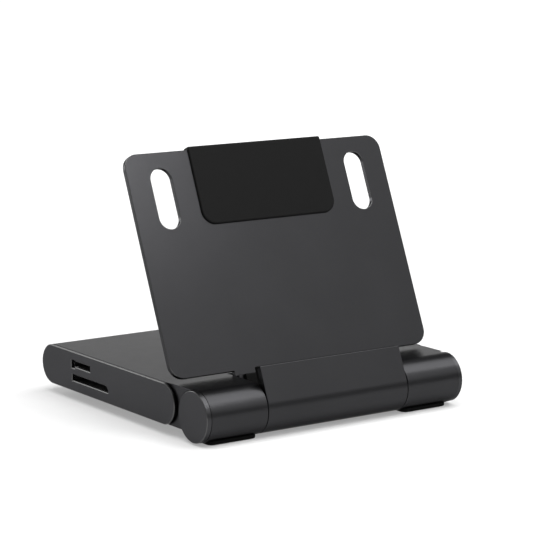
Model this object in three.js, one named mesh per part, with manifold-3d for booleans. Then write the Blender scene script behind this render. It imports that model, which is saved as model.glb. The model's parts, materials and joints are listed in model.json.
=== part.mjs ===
// A folding tablet stand with a connection hub in its base.
// Millimetres, +Z up, -Y towards the user, +X to the right. The origin is on the desk, under the middle.
// The hub, its link and the two outer barrels are one hollow aluminium body. The stand plate, the cradle and
// its middle barrel turn together about the barrel axis on two friction hinges.
import * as THREE from 'three';
import { mergeVertices } from 'three/addons/utils/BufferGeometryUtils.js';
import Module from 'manifold-3d';

const wasm = await Module();
wasm.setup();

// ---------------------------------------------------------------- driving dimensions
// Everything below is measured from the barrel axis, except DESK_DROP, which sets the axis height.
const DESK_DROP = 9.3;          // barrel axis above the desk
const HALF_WIDTH = 53.86;       // hub

const BARREL_R = 8.755;
const BARREL_BORE_R = 6.3;
const BARREL_END_X = 51.2;      // where the outer barrels stop and their caps begin
const BARREL_CAP_X = 53.1;      // outer face of a barrel cap
const CRADLE_HALF = 28.87;      // half length of the middle barrel and its lip
const BARREL_GAP = 0.3;         // between the middle barrel and the outer ones

const HUB_MID_Z = 1.42;         // centre line of the hub's round edges
const HUB_HALF_T = 7.06;        // half its thickness, and the radius of its round edges
const HUB_FRONT_Y = 17.09;      // centre of the front round edge
const HUB_REAR_Y = 91.2;        // centre of the rear round edge
const HUB_WALL = 1.5;
const HUB_TOP = HUB_MID_Z + HUB_HALF_T;
const HUB_BOTTOM = HUB_MID_Z - HUB_HALF_T;
const CAVITY_FRONT_Y = 20;
const BODY_HALF = 52.6;         // the body stops here, inside the side caps
const LINK_CREST_Y = 12;        // the link's top is level with the barrels up to here
const LINK_DIP_Y = 17.5;        // and level with the hub from here
const NOTCH_R = 17.9;           // swept clear for the cradle and the plate's tab

const EDGE = 0.4;               // machined chamfer on the caps
const FIT = 0.15;               // gap between two fixed pieces

const LEAN = THREE.MathUtils.degToRad(23.07);   // the plate's backward lean at its stop
const PLATE_HALF = 53.36;
const PLATE_FRONT_D = 6.64;     // plate front face behind the axis, square to the plate
const PLATE_T = 1.8;
const PLATE_BACK_D = PLATE_FRONT_D + PLATE_T;
const PLATE_LOW = 13.9;         // height up the plate of its wide part's lower edge
const PLATE_HIGH = 91.25;
const PLATE_CORNER_R = 5.19;
const TAB_LOW = -3.5;           // lower end of the tab that is screwed to the cradle
const SLOT_X = 40.3;
const SLOT_HALF = 4.15;
const SLOT_LOW = 64.4;
const SLOT_HIGH = 85.75;

const PAD_HALF = 27.68;
const PAD_LOW = 64.5;
const PAD_T = 0.6;
const PAD_HIGH = 92.3;
const PAD_CORNER_R = 5;

const LIP_T = 2;
const LIP_HIGH = 12.1;
const TROUGH_FLOOR = 3.4;
const LEG_FRONT_D = 4.6;        // the cradle's rear leg, which carries the plate
const LEG_BACK_D = PLATE_FRONT_D - 0.3;
const LEG_HIGH = 12.2;
const LINER_T = 1.3;
const LINER_HIGH = 12.5;        // it stands a little over the lip
const LINER_LEG_HALF = 26.9;

const BOARD_LOW = 1.2;
const BOARD_HIGH = 2.2;

// ---------------------------------------------------------------- materials
const finish = (color, roughness, metalness) => new THREE.MeshStandardMaterial({ color, roughness, metalness });
const GREY_ALUMINIUM = finish(0x424244, 0.45, 0.85);
const BLACK_RUBBER = finish(0x141414, 0.85, 0);
const PAD_RUBBER = finish(0x1c1c1c, 0.8, 0);
const STEEL = finish(0x9a9c9f, 0.35, 1);
const CONNECTOR_STEEL = finish(0xb4b6b8, 0.3, 1);
const BOARD_GREEN = finish(0x10301c, 0.5, 0);
const CHIP_BLACK = finish(0x17181a, 0.6, 0);
const THERMAL_GREY = finish(0x8e9aa6, 0.9, 0);

// ---------------------------------------------------------------- shapes and solids
/** A closed three.js geometry as a manifold solid. */
function solid(geometry) {
  const bare = geometry.clone();
  bare.deleteAttribute('normal');
  bare.deleteAttribute('uv');
  const merged = mergeVertices(bare, 1e-4);
  const vertProperties = merged.attributes.position.array;
  const triVerts = new Uint32Array(merged.index.array);
  return new wasm.Manifold(new wasm.Mesh({ numProp: 3, vertProperties, triVerts }));
}

/** A manifold solid as a three.js geometry. */
function geometryOf(made) {
  const { vertProperties, triVerts } = made.getMesh();
  const geometry = new THREE.BufferGeometry();
  geometry.setAttribute('position', new THREE.BufferAttribute(new Float32Array(vertProperties), 3));
  geometry.setIndex(new THREE.BufferAttribute(new Uint32Array(triVerts), 1));
  geometry.computeVertexNormals();
  return geometry;
}

const X = new THREE.Vector3(1, 0, 0);
const Y = new THREE.Vector3(0, 1, 0);
const Z = new THREE.Vector3(0, 0, 1);
const PROFILE_TO_X = new THREE.Matrix4().makeBasis(Y, Z, X);
const OUTLINE_TO_Y = new THREE.Matrix4().makeBasis(X, Z, Y.clone().negate());

/** A (y, z) profile pushed along x from x0 to x1, with chamfered ends where edge is given. */
function alongX(profile, x0, x1, edge = 0, curveSegments = 12) {
  const options = { depth: x1 - x0 - 2 * edge, curveSegments, bevelEnabled: edge > 0, bevelSegments: 1 };
  Object.assign(options, { bevelThickness: edge, bevelSize: edge, bevelOffset: -edge });
  const geometry = new THREE.ExtrudeGeometry(profile, options);
  geometry.translate(0, 0, x0 + edge);
  return geometry.applyMatrix4(PROFILE_TO_X);
}

/** An (x, z) outline pushed along y from y0 to y1. */
function alongY(outline, y0, y1, curveSegments = 8) {
  const geometry = new THREE.ExtrudeGeometry(outline, { depth: y1 - y0, curveSegments, bevelEnabled: false });
  geometry.translate(0, 0, -y1);
  return geometry.applyMatrix4(OUTLINE_TO_Y);
}

/** An (x, y) outline pushed along z from z0 to z1. */
function alongZ(outline, z0, z1, curveSegments = 8) {
  const geometry = new THREE.ExtrudeGeometry(outline, { depth: z1 - z0, curveSegments, bevelEnabled: false });
  return geometry.translate(0, 0, z0);
}

/** A cylinder about the x axis through (y, z). */
function rodX(r, x0, x1, y = 0, z = 0, segments = 24) {
  const geometry = new THREE.CylinderGeometry(r, r, x1 - x0, segments);
  return geometry.rotateZ(-Math.PI / 2).translate((x0 + x1) / 2, y, z);
}

/** A cylinder or cone frustum about the z axis through (x, y). */
function rodZ(rLow, rHigh, z0, z1, x, y, segments = 12) {
  const geometry = new THREE.CylinderGeometry(rHigh, rLow, z1 - z0, segments);
  return geometry.rotateX(Math.PI / 2).translate(x, y, (z0 + z1) / 2);
}

/** A box between two corners. */
function block(x0, x1, y0, y1, z0, z1) {
  const geometry = new THREE.BoxGeometry(x1 - x0, y1 - y0, z1 - z0);
  return geometry.translate((x0 + x1) / 2, (y0 + y1) / 2, (z0 + z1) / 2);
}

/** A ring-shaped or round piece turned about the x axis, from (x, radius) points in order. */
function turned(points, segments = 24) {
  const profile = points.map(([x, r]) => new THREE.Vector2(r, x));
  return new THREE.LatheGeometry(profile, segments).rotateZ(-Math.PI / 2);
}

/** A rectangle with round corners, centred on (cx, cy). */
function roundedRectangle(cx, cy, width, height, r) {
  const shape = new THREE.Shape();
  const [x0, x1, y0, y1] = [cx - width / 2, cx + width / 2, cy - height / 2, cy + height / 2];
  shape.moveTo(x0 + r, y0);
  shape.lineTo(x1 - r, y0);
  shape.absarc(x1 - r, y0 + r, r, -Math.PI / 2, 0, false);
  shape.lineTo(x1, y1 - r);
  shape.absarc(x1 - r, y1 - r, r, 0, Math.PI / 2, false);
  shape.lineTo(x0 + r, y1);
  shape.absarc(x0 + r, y1 - r, r, Math.PI / 2, Math.PI, false);
  shape.lineTo(x0, y0 + r);
  shape.absarc(x0 + r, y0 + r, r, Math.PI, 1.5 * Math.PI, false);
  return shape;
}

/** The hub's section: flat top and bottom with full-round front and rear. */
function hubSection(inset = 0) {
  const r = HUB_HALF_T - inset;
  const shape = new THREE.Shape();
  shape.absarc(HUB_REAR_Y, HUB_MID_Z, r, -Math.PI / 2, Math.PI / 2, false);
  shape.absarc(HUB_FRONT_Y, HUB_MID_Z, r, Math.PI / 2, 1.5 * Math.PI, false);
  return shape;
}

function mesh(name, geometry, material) {
  const made = new THREE.Mesh(geometry, material);
  made.name = name;
  return made;
}

// ---------------------------------------------------------------- base: the aluminium body
const COVER = { halfX: 47, y0: 23, y1: 89.5, r: 5, t: 1.3 };
const POSTS = [[-36, 27], [36, 27], [-28, 85], [28, 85]];       // screw posts for the base cover
const STANDOFFS = [[-8, 33], [14, 50], [-6, 80]];               // threaded standoffs for the board
const FRONT_FOOT = { x0: 30.5, x1: 49.5, halfY: 4.5, seat: -7.6 };

/** Hub, link and outer barrels in one section, hollowed, notched for the cradle and open underneath. */
function bodyShell() {
  const section = new THREE.Shape();
  const rootAngle = Math.asin(HUB_BOTTOM / BARREL_R);            // where the link's underside meets the barrel
  section.moveTo(0, BARREL_R);
  section.lineTo(LINK_CREST_Y, BARREL_R);
  section.lineTo(LINK_DIP_Y, HUB_TOP);
  section.lineTo(HUB_REAR_Y, HUB_TOP);
  section.absarc(HUB_REAR_Y, HUB_MID_Z, HUB_HALF_T, Math.PI / 2, -Math.PI / 2, true);
  section.lineTo(BARREL_R * Math.cos(rootAngle), HUB_BOTTOM);
  section.absarc(0, 0, BARREL_R, rootAngle, -1.5 * Math.PI, true);

  const r = HUB_HALF_T - HUB_WALL;
  const cavity = new THREE.Shape();
  cavity.moveTo(CAVITY_FRONT_Y, HUB_MID_Z + r);
  cavity.lineTo(HUB_REAR_Y, HUB_MID_Z + r);
  cavity.absarc(HUB_REAR_Y, HUB_MID_Z, r, Math.PI / 2, -Math.PI / 2, true);
  cavity.lineTo(CAVITY_FRONT_Y, HUB_MID_Z - r);

  const gapX = CRADLE_HALF + BARREL_GAP;
  const beyond = HALF_WIDTH + 10;
  let shell = solid(alongX(section, -BODY_HALF, BODY_HALF));
  shell = shell.subtract(solid(alongX(cavity, -beyond, beyond)));
  shell = shell.subtract(solid(rodX(NOTCH_R, -gapX, gapX, 0, 0, 64)));
  shell = shell.subtract(solid(rodX(BARREL_BORE_R, -beyond, beyond, 0, 0, 32)));
  for (const side of [-1, 1]) {
    const [a, b] = [side * BARREL_END_X, side * beyond].sort((p, q) => p - q);
    shell = shell.subtract(solid(rodX(BARREL_R + FIT, a, b, 0, 0, 48)));
    const [c, d] = [side * (FRONT_FOOT.x0 - 0.3), side * (FRONT_FOOT.x1 + 0.3)].sort((p, q) => p - q);
    shell = shell.subtract(solid(block(c, d, -BARREL_R, BARREL_R - 2.5, -BARREL_R - 1, FRONT_FOOT.seat)));
  }
  const width = 2 * (COVER.halfX + FIT);
  const opening = roundedRectangle(0, (COVER.y0 + COVER.y1) / 2, width, COVER.y1 - COVER.y0 + 2 * FIT, COVER.r);
  shell = shell.subtract(solid(alongZ(opening, HUB_BOTTOM - 1, HUB_BOTTOM + HUB_WALL + 0.01)));

  const ceiling = HUB_TOP - HUB_WALL / 2;
  for (const [x, y] of POSTS) {
    shell = shell.add(solid(rodZ(2.8, 2.8, HUB_BOTTOM + HUB_WALL + FIT, ceiling, x, y)));
    shell = shell.subtract(solid(rodZ(1.1, 1.1, HUB_BOTTOM, 3, x, y)));
  }
  for (const [x, y] of STANDOFFS) {
    shell = shell.add(solid(rodZ(2.2, 2.2, BOARD_HIGH + FIT, ceiling, x, y)));
    shell = shell.subtract(solid(rodZ(0.9, 0.9, BOARD_HIGH, 6, x, y)));
  }
  return mesh('body_shell', geometryOf(shell), GREY_ALUMINIUM);
}

// ---------------------------------------------------------------- base: side caps, cover, feet
const CAP_X0 = BODY_HALF + FIT;                 // inner face of a side cap
const SD = { y0: 52.4, y1: 77, z0: -1.9, z1: 0.3, chamfer: 1.3 };
const MICRO_SD = { y0: 64.5, y1: 77, z0: 3.2, z1: 5.2 };
const MICRO_SD_THUMB = { y0: 74.9, y1: 77.5, z0: 2.6, z1: 5.45 };
const PORTS = {
  hdmi: { y: 35, width: 15.2, height: 5.8, depth: 11, tongue: 1.6, mouth: [14.2, 4.8, 1.2] },
  usbA: { y: 54, width: 13.4, height: 6.0, depth: 14, tongue: 1.8, mouth: [12.6, 5.2, 0.4] },
  usbC: { y: 70, width: 9.4, height: 3.6, depth: 8, tongue: 0.7, mouth: [8.6, 2.8, 1.3] },
};
const JACK = { y: 82.5, width: 6.4, height: 5.4, depth: 12, r: 1.8 };
const GLAND = { y: 91.4, r: 2.6, bore: 1.8, depth: 5 };

/** Left cap: the full card slot with its cut corner, and the small card slot with a thumb relief. */
function sideCapLeft() {
  const mouth = new THREE.Shape();
  mouth.moveTo(SD.y0, SD.z0);
  mouth.lineTo(SD.y1, SD.z0);
  mouth.lineTo(SD.y1, SD.z1);
  mouth.lineTo(SD.y0 + SD.chamfer, SD.z1);
  mouth.lineTo(SD.y0, SD.z1 - SD.chamfer);
  const [a, b] = [-HALF_WIDTH - 1, -BODY_HALF + 1];
  let cap = solid(alongX(hubSection(), -HALF_WIDTH, -CAP_X0, EDGE));
  cap = cap.subtract(solid(alongX(mouth, a, b)));
  for (const slot of [MICRO_SD, MICRO_SD_THUMB]) {
    cap = cap.subtract(solid(block(a, b, slot.y0, slot.y1, slot.z0, slot.z1)));
  }
  return mesh('side_cap_left', geometryOf(cap), GREY_ALUMINIUM);
}

/** Right cap: openings for the display, data, power and sound sockets and for the host lead. */
function sideCapRight() {
  const [a, b] = [BODY_HALF - 1, HALF_WIDTH + 1];
  let cap = solid(alongX(hubSection(), CAP_X0, HALF_WIDTH, EDGE));
  for (const { y, mouth: [width, height, r] } of Object.values(PORTS)) {
    cap = cap.subtract(solid(alongX(roundedRectangle(y, HUB_MID_Z, width, height, r), a, b, 0, 4)));
  }
  cap = cap.subtract(solid(rodX(2.4, a, b, JACK.y, HUB_MID_Z)));
  cap = cap.subtract(solid(rodX(GLAND.r + FIT, a, b, GLAND.y, HUB_MID_Z)));
  return mesh('side_cap_right', geometryOf(cap), GREY_ALUMINIUM);
}

/** Round cap with a spigot that plugs an outer barrel; made for the right and turned round for the left. */
function barrelCap(side) {
  const r = BARREL_R - 0.1;
  const inner = BARREL_END_X + FIT;
  const points = [[48.6, 0], [48.6, BARREL_BORE_R - 0.2], [inner, BARREL_BORE_R - 0.2], [inner, r]];
  points.push([BARREL_CAP_X - EDGE, r], [BARREL_CAP_X, r - EDGE], [BARREL_CAP_X, 0]);
  return handed(mesh(`barrel_cap_${side}`, turned(points, 40), GREY_ALUMINIUM), side);
}

/** Turns a right-hand piece round the upright axis for the left side. */
function handed(piece, side) {
  piece.rotation.z = side === 'left' ? Math.PI : 0;
  return piece;
}

const SCREW = { r: 0.9, head: 1.8, headT: 0.9, length: 6 };

/** Flush plate that closes the hub underneath, with four countersunk holes. */
function baseCover() {
  const outline = roundedRectangle(0, (COVER.y0 + COVER.y1) / 2, 2 * COVER.halfX, COVER.y1 - COVER.y0, COVER.r);
  const top = HUB_BOTTOM + COVER.t;
  let cover = solid(alongZ(outline, HUB_BOTTOM, top));
  for (const [x, y] of POSTS) {
    cover = cover.subtract(solid(rodZ(SCREW.head + 0.2, SCREW.r + 0.2, HUB_BOTTOM, HUB_BOTTOM + SCREW.headT, x, y)));
    cover = cover.subtract(solid(rodZ(SCREW.r + 0.2, SCREW.r + 0.2, HUB_BOTTOM, top + 1, x, y)));
  }
  return mesh('base_cover', geometryOf(cover), GREY_ALUMINIUM);
}

/** Countersunk screw standing on its head at z, with a cross recess. */
function countersunkScrew(name, x, y, z, length) {
  const { r, head, headT } = SCREW;
  let screw = solid(rodZ(head, r, 0, headT, 0, 0));
  screw = screw.add(solid(rodZ(r, r, headT, length, 0, 0)));
  screw = screw.subtract(solid(block(-1, 1, -0.2, 0.2, -1, 0.5)));
  screw = screw.subtract(solid(block(-0.2, 0.2, -1, 1, -1, 0.5)));
  const made = mesh(name, geometryOf(screw), STEEL);
  made.position.set(x, y, z);
  return made;
}

/** Rubber block let into a flat under an outer barrel. */
function frontFoot(side) {
  const { x0, x1, halfY, seat } = FRONT_FOOT;
  const outline = roundedRectangle((x0 + x1) / 2, 0, x1 - x0, 2 * halfY, 2.2);
  return handed(mesh(`front_foot_${side}`, alongZ(outline, -DESK_DROP, seat - FIT), BLACK_RUBBER), side);
}

const REAR_FOOT = { y: 75.4, length: 18.4, width: 6.8 };

/** Obround rubber post that stands through a plate slot when the stand is folded under. */
function rearFoot(side) {
  const { y, length, width } = REAR_FOOT;
  const outline = roundedRectangle(side === 'left' ? -SLOT_X : SLOT_X, y, width, length, width / 2);
  return mesh(`rear_foot_${side}`, alongZ(outline, -DESK_DROP, HUB_BOTTOM - FIT), BLACK_RUBBER);
}

// ---------------------------------------------------------------- base: board and connectors
/** Circuit board with a bay in its right edge for each mid-mounted connector. */
function mainBoard() {
  const right = 50.5;
  const bays = [...Object.values(PORTS), JACK].sort((p, q) => p.y - q.y);
  const outline = new THREE.Shape();
  outline.moveTo(-50, 22);
  outline.lineTo(right, 22);
  for (const { y, width, depth } of bays) {
    const inner = CAP_X0 - FIT - depth - 0.4;
    outline.lineTo(right, y - width / 2 - 0.3);
    outline.lineTo(inner, y - width / 2 - 0.3);
    outline.lineTo(inner, y + width / 2 + 0.3);
    outline.lineTo(right, y + width / 2 + 0.3);
  }
  outline.lineTo(right, 87);
  outline.lineTo(38, 90);
  outline.lineTo(-50, 90);
  for (const [holes, r] of [[POSTS, 3.1], [STANDOFFS, 1.1]]) {
    for (const [x, y] of holes) {
      outline.holes.push(new THREE.Path().absarc(x, y, r, 0, 2 * Math.PI, false));
    }
  }
  return mesh('main_board', alongZ(outline, BOARD_LOW, BOARD_HIGH), BOARD_GREEN);
}

/** Pan-head screw up through the board into a standoff. */
function boardScrew(name, x, y) {
  const low = BOARD_LOW - FIT;
  let screw = solid(rodZ(1.7, 1.9, low - 1.1, low, 0, 0));
  screw = screw.add(solid(rodZ(0.75, 0.75, low - 0.1, 5.4, 0, 0)));
  screw = screw.subtract(solid(block(-1, 1, -0.2, 0.2, low - 2, low - 0.6)));
  const made = mesh(name, geometryOf(screw), STEEL);
  made.position.set(x, y, 0);
  return made;
}

/** Folded-steel connector shell open towards the right cap, with a contact tongue inside. */
function portSocket(name, port) {
  const { y, width, height, depth, tongue, mouth } = port;
  const wall = 0.35;
  const front = BODY_HALF;
  const back = front - depth;
  const shape = (inset) => {
    const r = Math.max(mouth[2] - inset, 0.2);
    return roundedRectangle(y, HUB_MID_Z, width - 2 * inset, height - 2 * inset, r);
  };
  let socket = solid(alongX(shape(0), back, front, 0, 4));
  socket = socket.subtract(solid(alongX(shape(wall), back + 1.5, front + 1, 0, 4)));
  const half = width / 2 - 1.6;
  const z0 = HUB_MID_Z - tongue / 2;
  socket = socket.add(solid(block(back + 1, front - 1.5, y - half, y + half, z0, z0 + tongue)));
  return mesh(name, geometryOf(socket), CONNECTOR_STEEL);
}

/** Sound socket: a moulded block with a round bore. */
function audioJack() {
  const { y, width, height, depth, r } = JACK;
  const front = BODY_HALF;
  const [z0, z1] = [HUB_MID_Z - height / 2, HUB_MID_Z + height / 2];
  let jack = solid(block(front - depth, front, y - width / 2, y + width / 2, z0, z1));
  jack = jack.subtract(solid(rodX(r, front - depth + 1.5, front + 1, y, HUB_MID_Z, 20)));
  return mesh('audio_jack', geometryOf(jack), CHIP_BLACK);
}

/** Card socket: a flat steel box on the board, open towards the left cap. */
function cardSocket(name, slot, depth, z0, z1) {
  const [a, b] = [-BODY_HALF, -BODY_HALF + depth];
  let socket = solid(block(a, b, slot.y0 - 1.2, slot.y1 + 1.2, z0, z1));
  socket = socket.subtract(solid(block(a - 1, b - 1.2, slot.y0 - 0.1, slot.y1 + 0.1, slot.z0 - 0.1, slot.z1 + 0.1)));
  return mesh(name, geometryOf(socket), CONNECTOR_STEEL);
}

/** Moulded chip package on top of the board. */
function chip(name, x, y, size, height, material = CHIP_BLACK) {
  const outline = roundedRectangle(x, y, size, size, 0.4);
  const low = BOARD_HIGH + FIT;
  return mesh(name, alongZ(outline, low, low + height, 2), material);
}

const HUB_CHIP = { x: 8, y: 66, size: 9, height: 0.9 };

/** Soft pad that carries the hub chip's heat to the aluminium above it. */
function thermalPad() {
  const { x, y, size, height } = HUB_CHIP;
  const low = BOARD_HIGH + FIT + height + FIT;
  const outline = roundedRectangle(x, y, size - 1, size - 1, 0.4);
  return mesh('thermal_pad', alongZ(outline, low, HUB_TOP - HUB_WALL - FIT, 2), THERMAL_GREY);
}

/** Rubber bush in the right cap that the host lead leaves through. */
function leadGland() {
  const { y, r, bore, depth } = GLAND;
  const outer = HALF_WIDTH - 0.2;
  const bush = solid(rodX(r, outer - depth, outer, y, HUB_MID_Z));
  const hole = solid(rodX(bore, outer - depth - 1, outer + 1, y, HUB_MID_Z));
  return mesh('host_lead_gland', geometryOf(bush.subtract(hole)), BLACK_RUBBER);
}

// ---------------------------------------------------------------- hinges, made for the right side
const HINGE = {
  shaftR: 2.2, run: 0.2,          // shaft radius and its clearance in every bore
  shaftX: [17, 47.8],
  sleeveX: [CRADLE_HALF + BARREL_GAP + 0.15, 40.5], sleeveR: 6.1,
  washersX: [40.8, 43.6], washerR: 5.2,
  nutX: [43.9, 46.9], nutR: 4.6,
  pinX: 22.5, pinR: 0.9, pinZ: [-5, TROUGH_FLOOR - 0.2],
};

function hingeSleeve(side) {
  const [x0, x1] = HINGE.sleeveX;
  const bore = HINGE.shaftR + HINGE.run;
  const points = [[x0, bore], [x0, HINGE.sleeveR], [x1, HINGE.sleeveR], [x1, bore], [x0, bore]];
  return handed(mesh(`hinge_sleeve_${side}`, turned(points, 24), STEEL), side);
}

function hingeShaft(side) {
  const [x0, x1] = HINGE.shaftX;
  let shaft = solid(rodX(HINGE.shaftR, x0, x1));
  shaft = shaft.subtract(solid(rodZ(HINGE.pinR + 0.15, HINGE.pinR + 0.15, -4, 4, HINGE.pinX, 0)));
  return handed(mesh(`hinge_shaft_${side}`, geometryOf(shaft), STEEL), side);
}

/** Stack of cupped spring washers that sets the hinge's friction. */
function springWashers(side) {
  const [x0, x1] = HINGE.washersX;
  const count = 4;
  const step = (x1 - x0) / count;
  const bore = HINGE.shaftR + HINGE.run;
  const cup = 0.35 * step;
  const points = [[x0, bore]];
  for (let i = 0; i < count; i += 1) {
    const at = x0 + i * step;
    points.push([at + cup, HINGE.washerR], [at + step - cup, HINGE.washerR]);
    points.push([at + step, i === count - 1 ? bore : HINGE.washerR - 1.4]);
  }
  points.push([x0, bore]);
  return handed(mesh(`spring_washers_${side}`, turned(points, 16), STEEL), side);
}

function hingeNut(side) {
  const [x0, x1] = HINGE.nutX;
  const nut = solid(rodX(HINGE.nutR, x0, x1, 0, 0, 6));
  const bore = solid(rodX(HINGE.shaftR + HINGE.run, x0 - 1, x1 + 1));
  return handed(mesh(`hinge_nut_${side}`, geometryOf(nut.subtract(bore)), STEEL), side);
}

/** Cross pin, driven in from the trough, that locks a shaft to the cradle. */
function shaftPin(side) {
  const { pinX, pinR, pinZ: [low, high] } = HINGE;
  return handed(mesh(`shaft_pin_${side}`, rodZ(pinR, pinR, low, high, pinX, 0), STEEL), side);
}

// ---------------------------------------------------------------- stand: plate, cradle, liner, pad
// Modelled upright: y runs square to the plate, away from the user, and z runs up the plate.
const PLATE_SCREWS_X = [-20, 0, 20];
const PLATE_SCREW_Z = 7.7;

/** Flat aluminium plate with two grip slots and a tab that reaches down behind the cradle. */
function standPlate() {
  const r = PLATE_CORNER_R;
  const outline = new THREE.Shape();
  outline.moveTo(-CRADLE_HALF, TAB_LOW);
  outline.lineTo(CRADLE_HALF, TAB_LOW);
  outline.lineTo(CRADLE_HALF, PLATE_LOW);
  outline.lineTo(PLATE_HALF - r, PLATE_LOW);
  outline.absarc(PLATE_HALF - r, PLATE_LOW + r, r, -Math.PI / 2, 0, false);
  outline.absarc(PLATE_HALF - r, PLATE_HIGH - r, r, 0, Math.PI / 2, false);
  outline.absarc(r - PLATE_HALF, PLATE_HIGH - r, r, Math.PI / 2, Math.PI, false);
  outline.absarc(r - PLATE_HALF, PLATE_LOW + r, r, Math.PI, 1.5 * Math.PI, false);
  outline.lineTo(-CRADLE_HALF, PLATE_LOW);
  let plate = solid(alongY(outline, PLATE_FRONT_D, PLATE_BACK_D));
  const slotMid = (SLOT_LOW + SLOT_HIGH) / 2;
  for (const x of [-SLOT_X, SLOT_X]) {
    const slot = roundedRectangle(x, slotMid, 2 * SLOT_HALF, SLOT_HIGH - SLOT_LOW, SLOT_HALF);
    plate = plate.subtract(solid(alongY(slot, PLATE_FRONT_D - 1, PLATE_BACK_D + 1)));
  }
  for (const x of PLATE_SCREWS_X) {
    const through = rodZ(SCREW.r + 0.2, SCREW.r + 0.2, -PLATE_T - 1, 1, 0, 0);
    const sink = rodZ(SCREW.r + 0.2, SCREW.head + 0.2, -SCREW.headT, 0, 0, 0);
    for (const cut of [through, sink]) {
      plate = plate.subtract(solid(cut.rotateX(-Math.PI / 2).translate(x, PLATE_BACK_D, PLATE_SCREW_Z)));
    }
  }
  return mesh('stand_plate', geometryOf(plate), GREY_ALUMINIUM);
}

/** Middle barrel with the front lip and the rear leg, from one extrusion. */
function cradle() {
  const fillet = 1.2;
  const flatAngle = -Math.acos(LEG_BACK_D / BARREL_R);
  const lipBack = LIP_T - BARREL_R;
  const section = new THREE.Shape();
  section.moveTo(LEG_BACK_D, LEG_HIGH);
  section.lineTo(LEG_FRONT_D, LEG_HIGH);
  section.absarc(LEG_FRONT_D - fillet, TROUGH_FLOOR + fillet, fillet, 0, -Math.PI / 2, true);
  section.absarc(lipBack + fillet, TROUGH_FLOOR + fillet, fillet, -Math.PI / 2, -Math.PI, true);
  section.lineTo(lipBack, LIP_HIGH - 0.5);
  section.lineTo(lipBack - 0.5, LIP_HIGH);
  section.lineTo(0.3 - BARREL_R, LIP_HIGH);
  section.lineTo(-BARREL_R, LIP_HIGH - 0.3);
  section.absarc(0, 0, BARREL_R, Math.PI, 2 * Math.PI + flatAngle, false);
  let channel = solid(alongX(section, -CRADLE_HALF, CRADLE_HALF));
  for (const side of [-1, 1]) {
    const [a, b] = [side * (HINGE.shaftX[0] - 0.5), side * (CRADLE_HALF + 1)].sort((p, q) => p - q);
    channel = channel.subtract(solid(rodX(HINGE.shaftR + HINGE.run, a, b)));
    const r = HINGE.pinR + 0.15;
    channel = channel.subtract(solid(rodZ(r, r, HINGE.pinZ[0] - 0.2, TROUGH_FLOOR + 1, side * HINGE.pinX, 0)));
  }
  for (const x of PLATE_SCREWS_X) {
    const hole = rodZ(SCREW.r + 0.1, SCREW.r + 0.1, 0, 4, 0, 0).rotateX(-Math.PI / 2);
    channel = channel.subtract(solid(hole.translate(x, LEG_FRONT_D - 1, PLATE_SCREW_Z)));
  }
  return mesh('cradle', geometryOf(channel), GREY_ALUMINIUM);
}

/** Soft channel lining: full length on the lip and the floor, shorter on the rear leg. */
function cradleLiner() {
  const front = LIP_T - BARREL_R + FIT;
  const floor = TROUGH_FLOOR + FIT;
  const back = LEG_FRONT_D - FIT;
  const channel = (reach, rise) => {
    const section = new THREE.Shape();
    section.moveTo(front, LINER_HIGH);
    section.lineTo(front, floor + 1.2);
    section.lineTo(front + 1.2, floor);
    section.lineTo(back - 1.2, floor);
    section.lineTo(back, floor + 1.2);
    section.lineTo(back, rise);
    section.lineTo(back - LINER_T, rise);
    section.lineTo(back - LINER_T, floor + LINER_T + 0.6);
    section.lineTo(back - LINER_T - 0.6, floor + LINER_T);
    section.lineTo(front + LINER_T + 0.6, floor + LINER_T);
    section.lineTo(front + LINER_T, floor + LINER_T + 0.6);
    section.lineTo(front + LINER_T, LINER_HIGH - 0.4);
    section.lineTo(front + LINER_T - 0.4, LINER_HIGH);
    return solid(alongX(section, -reach, reach));
  };
  const liner = channel(CRADLE_HALF - 0.1, floor + 2.4).add(channel(LINER_LEG_HALF, LEG_HIGH - 0.1));
  return mesh('cradle_liner', geometryOf(liner), BLACK_RUBBER);
}

/** Soft pad folded over the plate's top edge, the same in front and behind. */
function platePad() {
  const outline = new THREE.Shape();
  outline.moveTo(PAD_HALF, PAD_HIGH);
  outline.lineTo(-PAD_HALF, PAD_HIGH);
  outline.absarc(PAD_CORNER_R - PAD_HALF, PAD_LOW + PAD_CORNER_R, PAD_CORNER_R, Math.PI, 1.5 * Math.PI, false);
  outline.absarc(PAD_HALF - PAD_CORNER_R, PAD_LOW + PAD_CORNER_R, PAD_CORNER_R, 1.5 * Math.PI, 2 * Math.PI, false);
  const front = PLATE_FRONT_D - FIT;
  const back = PLATE_BACK_D + FIT;
  const face = solid(alongY(outline, front - PAD_T, back + PAD_T));
  const pocket = solid(block(-PAD_HALF - 1, PAD_HALF + 1, front, back, 0, PLATE_HIGH + FIT));
  return mesh('plate_pad', geometryOf(face.subtract(pocket)), PAD_RUBBER);
}

/** Countersunk screw through the plate's tab into the cradle's rear leg. */
function plateScrew(index) {
  const made = countersunkScrew(`plate_screw_${index + 1}`, 0, 0, 0, 3.7);
  made.rotation.x = Math.PI / 2;
  made.position.set(PLATE_SCREWS_X[index], PLATE_BACK_D, PLATE_SCREW_Z);
  return made;
}

// ---------------------------------------------------------------- assembly
const SIDES = ['left', 'right'];

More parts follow.
